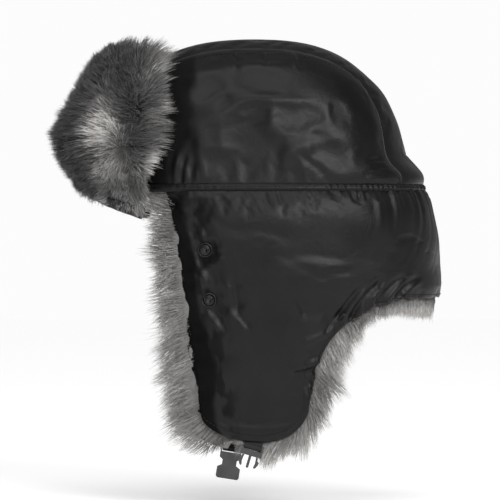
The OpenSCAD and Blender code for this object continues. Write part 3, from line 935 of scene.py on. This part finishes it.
def detailed_shell():
    """The simulated lower shell with its gathers, fold line, rolled front edges, creases and snap dents."""
    grid, base, around = CLOTH["lower_shell"]
    y, z = grid[..., 1], grid[..., 2]
    normals = out_normals(grid)
    ripple = np.sin(around / 2.3 + 1.3 * np.sin(around / 11)) + 0.6 * np.sin(around / 1.4 + 2)
    nape = smooth((y - 70) / 40) * np.exp(-np.maximum(-4 - z, 0) / 18)
    hem = smooth((y - 60) / 50) * np.minimum(1, np.exp((CURTAIN_LOW - z) / 9))
    from_fold = (y - FOLD_MIDDLE[0]) * FOLD_DOWN[0] + (z - FOLD_MIDDLE[1]) * FOLD_DOWN[1]
    rolled = smooth(1 - edge_distance(grid, "lr") / FRONT_ROLL) ** 1.5 * smooth((4 - z) / 20)
    lift = HEM_LIFT * hem + GATHER_LIFT * nape * ripple - ROLL_IN * rolled
    lift = lift - FOLD_DENT * np.exp(-(from_fold / 3.0) ** 2)
    grid = crease(grid + normals * lift[..., None], normals, LOWER_CREASES)
    for k, (snap_y, snap_z) in enumerate(SNAP_PLACES):
        r = np.hypot(y - snap_y, z - snap_z)
        angle = np.arctan2(z - snap_z, y - snap_y)
        rays = np.sin(angle * 7 + k) + 0.7 * np.sin(angle * 11 + 2 * k)
        flat = smooth((SNAP_FLAT - r) / 6)[..., None]
        grid = grid * (1 - flat) + (base - normals * 0.25) * flat
        grid = grid + normals * (0.35 * rays * np.exp(-((r - SNAP_FLAT) / 6) ** 2))[..., None]
    return grid


def build_lower_shell():
    grid = detailed_shell()
    middle = grid.shape[1] // 2
    for (side, name), half in zip(SIDES, (grid[:, :middle + 1], grid[:, middle:][:, ::-1])):
        fine = refined(half)
        normals = out_normals(fine)
        obj = closed_sheet(name + "_lower_shell", fine, fine - normals * SHELL_T, NYLON, joined=True)
        # Painted shade along the flap's front edge and in patches beside it.
        paint_shade(obj, front_edge_painted_shade)
        curtain = ("neck_shell", "neck_wadding") if side > 0 else ()
        blend_at_fold(obj, side, "nylon", name + "_flap_shell", name + "_flap_wadding", *curtain)
        stitches = stitch_row(name + "_hem_stitches", fine[-4] + normals[-4] * 0.15, normals[-4])
        blend_at_fold(stitches, side, "nylon")


def outline_pair(n):
    """Matching points along the shell's edge and along the fur's outer edge, as (distance round, z)."""
    pair = []
    for outline, start, low_edge in ((SHELL_OUTLINE, 89, curtain_edge), (FUR_OUTLINE, 95, curtain_fur_edge)):
        lines = [flattened(resample(bezier(edge, np.linspace(0, 1, 80)), count * n))
                 for edge, count in zip(outline, (4, 2, 2))]
        where = np.linspace(to_flat(start, CURTAIN_LOW), ROUND[-1], 4 * n)
        lines.append(np.stack([where, low_edge(from_flat(where, CURTAIN_LOW)[:, 1])], 1))
        pair.append(np.concatenate(lines))
    return pair


def wrapped(flat, t):
    """Points at (distance round, z) on the left side, t further in."""
    return inset(from_flat(flat[:, 0], flat[:, 1]), t)


def lining_tone(points, group, rng):
    locks = rng.uniform(-0.2, 0.2, group.max() + 1)[group]
    return 0.5 + locks + 0.26 * waves(points, 48, 91) + rng.normal(0, 0.07, len(points))


def near_strap(points, side):
    """1 where a strap leaves the flap's tip, 0 away from it."""
    y, width = STRAP_ROOM[side]
    return smooth((-199 - points[..., 2]) / 6) * np.exp(-((points[..., 1] - y) / width) ** 4)


def lining_hairs(name, side, roots, middles, tips, width, group, rng):
    """Hairs of the flaps' lining, mirrored to their side."""
    tone = lining_tone(roots, group, rng)
    for p in (roots, middles, tips):
        p[:, 0] *= side
    obj = hairs(name, roots, middles, tips, rng.uniform(*width, len(roots)), tone, LINING_FUR)
    blend_at_fold(obj, side, "lining_fur")


# Hairs: range of length and of radius; locks and wisps are (spacing, how much they draw together)
FRINGE_LENGTH = (13, 25)
FRINGE_THICK = (0.16, 0.27)
FRINGE_LOCKS = (6.5, 0.5)
FRINGE_WISPS = (2.8, 0.35)
PILE_THICK = (0.2, 0.34)
PILE_LOCKS = (7.0, 0.5)


def fringe(name, side, seed):
    """Fur that stands out round the edge of a flap and under the neck."""
    rng = np.random.default_rng(seed)
    count = HAIR_COUNT
    shell, fur = outline_pair(60)
    at = lengths(shell)
    chosen = rng.uniform(0, at[-1], count)
    edge, rim = (np.stack([np.interp(chosen, at, column) for column in line.T], 1) for line in (shell, fur))
    gap = np.linalg.norm(rim - edge, axis=1)
    out = unit(rim - edge)
    start = -7 + (0.7 * gap + 7) * rng.random(count) ** 1.35
    length = rng.uniform(*FRINGE_LENGTH, count)
    end = np.minimum(start + length, gap * rng.uniform(1.15, 1.5, count))
    sway = np.stack([waves(np.column_stack([edge, start]), 26, k) for k in (71, 72)], 1)
    by_buckle = near_strap(from_flat(edge[:, 0], edge[:, 1]), side)
    end = end * (1 - 0.85 * by_buckle)
    start = np.minimum(start, end - 5)
    root_flat = edge + out * start[:, None]
    tip_flat = edge + out * end[:, None] + sway * 5 + rng.normal(0, 1.2, (count, 2))
    tip_flat[:, 1] -= (1 - by_buckle) * ((length - (end - start)) * 0.45 + rng.uniform(0, 2.5, count))
    inside = smooth(-start / 4)
    depth = rng.uniform(2.6, 9.5, count) * (1 - inside) + rng.uniform(5.6, 9.5, count) * inside
    depth = depth + (rng.random(count) < 0.5) * (1 - inside) * (3.2 - depth) * smooth((12 - start) / 10)
    tip_depth = rng.uniform(0.0, 20, count)
    roots, tips = wrapped(root_flat, depth), wrapped(tip_flat, tip_depth)
    tips, group = clumped(roots, tips, *FRINGE_LOCKS, rng)
    tips, _ = clumped(roots, tips, *FRINGE_WISPS, rng)
    sag = wrapped(root_flat * 0.45 + tip_flat * 0.55, (depth + tip_depth) / 2 + rng.uniform(2, 6, count))
    lining_hairs(name, side, roots, 0.2 * (roots + tips) + 0.6 * sag, tips, FRINGE_THICK, group, rng)


def lining_grid(rows, cols, part):
    """Fur backing that reaches part of the way from the shell's edge to the fringe's."""
    outline = np.array(SHELL_OUTLINE) * (1 - part) + np.array(FUR_OUTLINE) * part
    return half_lower_grid(outline, lambda y: curtain_edge(y) - 12 * part, -5.0, rows, cols)


def inner_fur(name, side, seed):
    """Fur over the inside of a flap and half of the neck curtain."""
    rng = np.random.default_rng(seed)
    count = HAIR_COUNT
    grid = lining_grid(60, 110, 0.1)
    i, j = scatter(grid, count, rng)
    surface, normals = at_grid(grid, i, j), at_grid(out_normals(grid), i, j)
    roots = inset(surface, 9 + 1.5 * waves(surface, 22, 5))
    length = LINING_PILE * rng.uniform(0.7, 1.1, count) * (1 - 0.7 * near_strap(surface, side))
    lean = np.array([0, 0.15, -0.85]) + 0.5 * np.stack([waves(surface, 30, s) for s in (61, 62, 63)], -1)
    tips = roots + (-normals * 0.75 + lean * 0.55) * length[:, None] + rng.normal(0, 1.6, (count, 3))
    middles = roots - normals * (length * 0.5)[:, None]
    tips, group = clumped(roots, tips, *PILE_LOCKS, rng)
    tips[:, 2] = np.maximum(tips[:, 2], -209 - 30 * (1 - near_strap(tips, side)))
    lining_hairs(name, side, roots, middles, tips, PILE_THICK, group, rng)


def build_lining():
    grid = lining_grid(scaled(70), scaled(120), 0.5)
    from_edge = edge_distance(grid)
    rim = smooth(from_edge / 9)
    for side, name in SIDES:
        outer = inset(grid, 5.5 + 4.5 * (1 - smooth(from_edge / 17)))
        inner = inset(grid, 11.0 + 2.5 * rim + 1.2 * waves(grid, 16, 11) * rim)
        for g in (outer, inner):
            g[:, -1, 0] -= 1.2
            g[..., 2] = np.maximum(g[..., 2], -206 - 30 * (1 - near_strap(g, side)))
            g[..., 0] *= side
        # The mat's low tone is painted shadow between the hairs.
        obj = furred_sheet(name + "_lining_mat", outer, inner, 0.2 + 0.15 * waves(grid, 25, 12), LINING_FUR)
        curtain = ("neck_fur",) if side > 0 else ()
        blend_at_fold(obj, side, "lining_fur", name + "_flap_fur", *curtain)
        fringe(name + "_fringe", side, 31)
        inner_fur(name + "_lining_pile", side, 41)


# ---- the pieces: visor ----

VISOR_PILE = 12
VISOR_BULGE = 12
RIM_HAIRS = 0.8
VISOR_THICK = (0.17, 0.3)
VISOR_LOCKS = (7.5, 0.5)
VISOR_WISPS = (3.0, 0.3)
SHELL_INSIDE = -5.4


def visor_w(z):
    return VISOR_HALF_W - 28 * np.clip((z - 30) / 80, 0, 1) ** 1.6


def visor_front(z):
    return -157 + np.where(z < 45, 9 * ((z - 45) / 45) ** 2, 33 * ((z - 45) / 71) ** 2)


def on_visor(s, z):
    front = visor_front(z)
    return np.stack([s * visor_w(z), front + (-100 + 0.12 * z - front) * np.abs(s) ** 3.5, z + 0 * s], -1)


def visor_z(s, v):
    low = 4 - 27 * np.abs(s) ** 1.6
    high = VISOR_TOP - 3 + 3 * s * s - 15 * np.abs(s) ** 10
    return low + v * (high - low)


def visor_frame(s, v):
    """Point, outward normal, sideways and upward directions of the visor."""
    z = visor_z(s, v)
    d = 0.01
    across = unit(on_visor(s + d, z) - on_visor(s - d, z))
    up = unit(on_visor(s, z + 1) - on_visor(s, z - 1))
    return on_visor(s, z), unit(np.cross(across, up)), across, up


def visor_pile(s, z):
    return (VISOR_PILE + VISOR_BULGE * np.exp(-((z - 42) / 18) ** 2)) * (1 - 0.5 * s ** 4)


def visor_rows(rows, cols, low, high, side):
    v, s = np.meshgrid(np.linspace(low, high, rows), np.linspace(-side, side, cols), indexing="ij")
    return s, v


def visor_tone(points, group, rng):
    """Dark round the edge, lighter where the pile parts on each side; lighter towards the rear top as
    painted light from the rear.
    """
    near = np.exp(-(((points[:, 1] + 129) / 14) ** 2 + ((points[:, 2] - 47) / 24) ** 2))
    near = near * smooth((np.abs(points[:, 0]) - 25) / 40)
    locks = rng.uniform(-0.16, 0.16, group.max() + 1)[group]
    # Painted light: the rear of the visor is made lighter, standing in for light falling from the rear.
    rear = smooth((points[:, 1] + 112) / 22) * smooth((points[:, 2] + 10) / 40)
    low = smooth((42 - points[:, 2]) / 30) * smooth((points[:, 1] + 152) / 24)
    return (1.05 * near + 0.56 * rear + 0.52 * low + 1.3 * locks * (0.5 + near + 0.5 * rear)
            + 0.16 * waves(points, 30, 77) + rng.normal(0, 0.08, len(points)))


def visor_hairs(name, seed):
    rng = np.random.default_rng(seed)
    count = HAIR_COUNT
    s_grid, v_grid = visor_rows(50, 90, 0.03, 1.0, 1.01)
    frames = visor_frame(s_grid, v_grid)
    rim = 1 + RIM_HAIRS * (np.exp(-(1.01 - np.abs(s_grid)) / 0.05) + np.exp(-(1 - v_grid) / 0.06))
    i, j = scatter(frames[0], count, rng, rim)
    base, n, across, up, sv = (at_grid(g, i, j) for g in (*frames, np.stack([s_grid, v_grid], -1)))
    s, v = sv.T
    pile = visor_pile(s, base[:, 2]) * (1 + 0.2 * waves(base, 34, 54))
    roots = base + n * (pile * 0.3 * rng.uniform(0.3, 1.0, count))[:, None]
    whorl = base - np.array([0, -108, 50])
    whorl[:, 0] = 0
    flow = unit(whorl) * smooth(np.linalg.norm(whorl, axis=1) / 30)[:, None]
    side_edge = smooth((np.abs(s) - 0.82) / 0.2) * np.sign(s)
    top_edge = smooth((v - 0.84) / 0.18)
    low_edge = smooth((0.2 - v) / 0.17) * (0.25 + 0.75 * (1 - smooth((np.abs(s) - 0.55) / 0.2))
                                           + smooth((np.abs(s) - 0.93) / 0.06))
    swirl = 0.5 * np.stack([waves(base, 38, k) for k in (51, 52, 53)], -1)
    direction = unit(n * (1.0 - 0.45 * top_edge - 0.3 * np.abs(side_edge))[:, None]
                     + across * (side_edge * 1.1)[:, None] + up * (top_edge * 0.75 - low_edge * 0.6)[:, None]
                     + flow * 0.55 + swirl + rng.normal(0, 0.16, (count, 3)))
    length = pile * rng.uniform(0.72, 1.04, count)
    high = 0.3 + 0.7 * smooth(base[:, 2] / 70 + 0.1)
    shoulder = top_edge * smooth((np.abs(s) - 0.55) / 0.25)
    length = length * (1 - 0.35 * (top_edge - shoulder))
    extra = 21 * np.abs(side_edge) * high * (1 - 0.45 * top_edge) + 8 * shoulder
    length = length + extra * rng.uniform(0.6, 1, count)
    tips = roots + direction * length[:, None]
    tips, group = clumped(roots, tips, *VISOR_LOCKS, rng)
    tips, _ = clumped(roots, tips, *VISOR_WISPS, rng)
    middles = roots + unit(n * 0.8 + direction * 0.35) * (length * 0.5)[:, None]
    tone = visor_tone(roots, group, rng)
    obj = hairs(name, roots, middles, tips, rng.uniform(*VISOR_THICK, count), tone, VISOR_FUR)
    place(obj, "visor", "visor_fur")


def visor_lining():
    """Nylon side of the visor, rolled round its lower edge to the front."""
    turn = np.linspace(0.2, math.pi, 12)
    inside, front = np.linspace(1.0, 0.03, 34), np.linspace(0.012, 0.06, 6)
    up = np.concatenate([inside, -0.022 * np.sin(turn), front])
    s, v = np.meshgrid(np.linspace(-0.995, 0.995, 181), up)
    depth = np.concatenate([inside * 0 + SHELL_INSIDE, SHELL_INSIDE + 5.6 * (1 - np.cos(turn)),
                            5.8 + 0.6 * np.sin(front * 30)])[:, None]
    base, n, _, _ = visor_frame(s, v)
    outer = base + n * (depth * np.where(depth > -4, 1 - 0.55 * np.abs(s) ** 10, 1))[..., None]
    ripple = 0.55 * waves(outer, 15, 21) + 0.5 * waves(outer * np.array([1, 1, 0.25]), 8, 22)
    away = unit(outer - (base - n * 1.5))
    outer = outer + away * ripple[..., None] * 0.7
    obj = closed_sheet("visor_nylon", outer, outer - away, NYLON)
    place(obj, "visor", "nylon", "visor_shell", "visor_wadding")
    row = len(inside) + len(turn) + 1
    place(stitch_row("visor_stitches", outer[row] + away[row] * 0.2, away[row]), "visor", "nylon")


def visor_mat():
    s, v = visor_rows(60, 120, 0.05, 0.985, 0.99)
    base, n, _, _ = visor_frame(s, v)
    rim = smooth((0.99 - np.abs(s)) / 0.1) * smooth((0.985 - v) / 0.1) * smooth((v - 0.05) / 0.08)
    lumps = 1 + 0.25 * waves(base, 20, 15)
    outer = base + n * (0.5 + visor_pile(s, base[..., 2]) * 0.4 * rim * lumps)[..., None]
    points = outer.reshape(-1, 3)
    tone = visor_tone(points, np.zeros(len(points), int), np.random.default_rng(3))
    obj = furred_sheet("visor_fur_mat", outer, base + n * -3.6, tone, VISOR_FUR)
    place(obj, "visor", "visor_fur", "visor_fur")


def visor_hinge():
    """Cloth that joins the band to the visor's lower edge across the fold."""
    s = np.linspace(-0.55, 0.55, 90)[None, :]
    k = np.linspace(0, 1, 9)[:, None]
    low = on_visor(s, visor_z(s, 0.0)) + visor_frame(s, 0 * s)[1] * -4.6
    phi = np.arctan2(low[..., 0], -(low[..., 1] - MID_Y) * 0.73)
    band = ring(0.6, -2.2, phi)
    low = low + np.array([0, 0, 1.0])
    grid = band * (1 - k)[..., None] + low * k[..., None]
    grid[..., 2] += (0.35 * np.sin(s * 190) - 2.2) * np.sin(math.pi * k)
    obj = closed_sheet("visor_fold_cloth", grid, grid + np.array([0, 0, 1.0]), NYLON)
    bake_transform(obj)


def build_visor():
    visor_lining()
    visor_mat()
    visor_hinge()
    for k in range(3):
        visor_hairs("visor_pile_%d" % k, 100 + k)


# ---- the pieces: snaps, straps and buckle ----

def dress(node, material, bevel=0.0):
    """A CAD piece that keeps its shape, with softened edges and a material."""
    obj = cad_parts[node]
    obj.data.materials.clear()
    obj.data.materials.append(material)
    if bevel:
        mod = obj.modifiers.new("bevel", "BEVEL")
        mod.width = bevel * MM
        mod.segments = 2
        mod.limit_method = "ANGLE"
        mod.angle_limit = math.radians(35)
    return obj


# Turned outline of a snap from its middle outwards: radius and height above the flange's underside
STUD_TOP = 4.0
STUD_SIDES = 48
STUD_OUTLINE = [(0.4, 2.9), (1.0, 2.95), (1.6, 3.3), (2.0, 3.9), (2.45, 4.0), (2.8, 3.6), (2.6, 2.4),
                (2.6, 1.1), (2.9, 0.7), (3.8, 0.6), (4.6, 0.75), (5.0, 1.25), (5.5, 1.45), (6.0, 1.2),
                (6.2, 0.6), (6.1, 0.0), (1.7, 0.0), (1.7, -1.7), (0.4, -1.7)]


def build_studs(side, name):
    """Two turned studs, each on the axis of the CAD stud that it stands for."""
    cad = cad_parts[name + "_snap_studs"]
    corners = np.array([cad.matrix_world @ v.co for v in cad.data.vertices]) / MM
    upper = corners[:, 2] > (SNAP_PLACES[0][1] + SNAP_PLACES[1][1]) / 2
    around = np.linspace(0, 2 * math.pi, STUD_SIDES, endpoint=False)
    radius, height = np.array(STUD_OUTLINE).T[..., None, None]
    points, faces = [], []
    for own in (corners[upper], corners[~upper]):
        middle = own.mean(0)
        across = np.linalg.svd(own - middle, full_matrices=False)[2]
        axis = across[2] * np.sign(across[2][0] * side)
        base = middle + axis * (((own - middle) @ axis).max() - STUD_TOP)
        turn = across[0] * np.cos(around)[:, None] + across[1] * np.sin(around)[:, None]
        first = len(points) * radius.size * around.size + np.arange(around.size)
        points.append(base + radius * turn + height * axis)
        faces += [*grid_faces(radius.size, around.size, True, first[0]), first,
                  first + (radius.size - 1) * around.size]
    obj = mesh_object(name + "_studs", points, faces, SNAP_METAL)
    outward(obj)
    place(obj, name + "_flap", "snap_metal", name + "_snap_studs")


def build_hardware():
    for turn, side in SIDES:
        build_studs(turn, side)
        dress(side + "_snap_caps", SNAP_METAL, 0.2)
        dress(side + "_strap_tab", WEBBING, 0.15)
        dress(side + "_strap_loop", WEBBING, 0.25)
    for node in ("buckle_plug", "plug_prong_front", "plug_prong_back"):
        dress(node, PLASTIC, 0.5)
    dress("buckle_socket", SOCKET_PLASTIC, 0.7)


# ---- floor, light and camera ----

FLOOR_SIZE = 6000
FLOOR_Z = -262

def aimed(name, data, at, aim):
    """A light or camera at one place, pointed at another."""
    obj = link(name, data)
    obj.location = at
    obj.rotation_euler = (Vector(aim) - Vector(at)).to_track_quat("-Z", "Y").to_euler()
    return obj


def build_stage():
    look = Look("floor", Base_Color=grey(0.9), Roughness=0.8, Emission_Color=grey(1.0),
                Emission_Strength=0.405)
    corners = [(x * FLOOR_SIZE, y * FLOOR_SIZE, FLOOR_Z) for x, y in ((-1, -1), (1, -1), (1, 1), (-1, 1))]
    mesh_object("floor", corners, [(0, 1, 2, 3)], look.material)
    world = bpy.data.worlds.new("studio")
    world.use_nodes = True
    tree = world.node_tree
    backdrop = tree.nodes["Background"]
    backdrop.inputs[0].default_value = grey(0.975)
    ambient = add_node(tree, "Background", Color=grey(1.0), Strength=0.26)
    mix = add_node(tree, "MixShader")
    seen = add_node(tree, "LightPath").outputs["Is Camera Ray"]
    for k, source in enumerate((seen, ambient.outputs[0], backdrop.outputs[0])):
        tree.links.new(source, mix.inputs[k])
    tree.links.new(mix.outputs[0], tree.nodes["World Output"].inputs[0])
    scene = bpy.context.scene
    scene.world = world
    scene.view_settings.view_transform = "Standard"
    sun = bpy.data.lights.new("sun", "SUN")
    sun.energy = 1.3
    sun.angle = math.radians(50)
    link("sun", sun).rotation_euler = (math.radians(8), math.radians(22), 0)
    for name, at, size, power in (("key", (1.7, 0.9, 0.95), (1.0, 0.8), 30),
                                  ("fill", (1.8, -0.35, 0.45), (0.6, 0.5), 4)):
        light = bpy.data.lights.new(name, "AREA")
        light.shape = "RECTANGLE"
        light.size, light.size_y = size
        light.energy = power
        aimed(name, light, at, (0, -0.014, -0.05))
    camera = bpy.data.cameras.new("camera")
    camera.lens = 300
    camera.sensor_width = 36
    scene.camera = aimed("camera", camera, (3.5, -0.014, -0.0217), (0, -0.014, -0.0517))


build_crown()
build_band()
build_crown_lining()
build_lower_shell()
build_lining()
build_visor()
build_hardware()
build_stage()
bpy.context.view_layer.update()
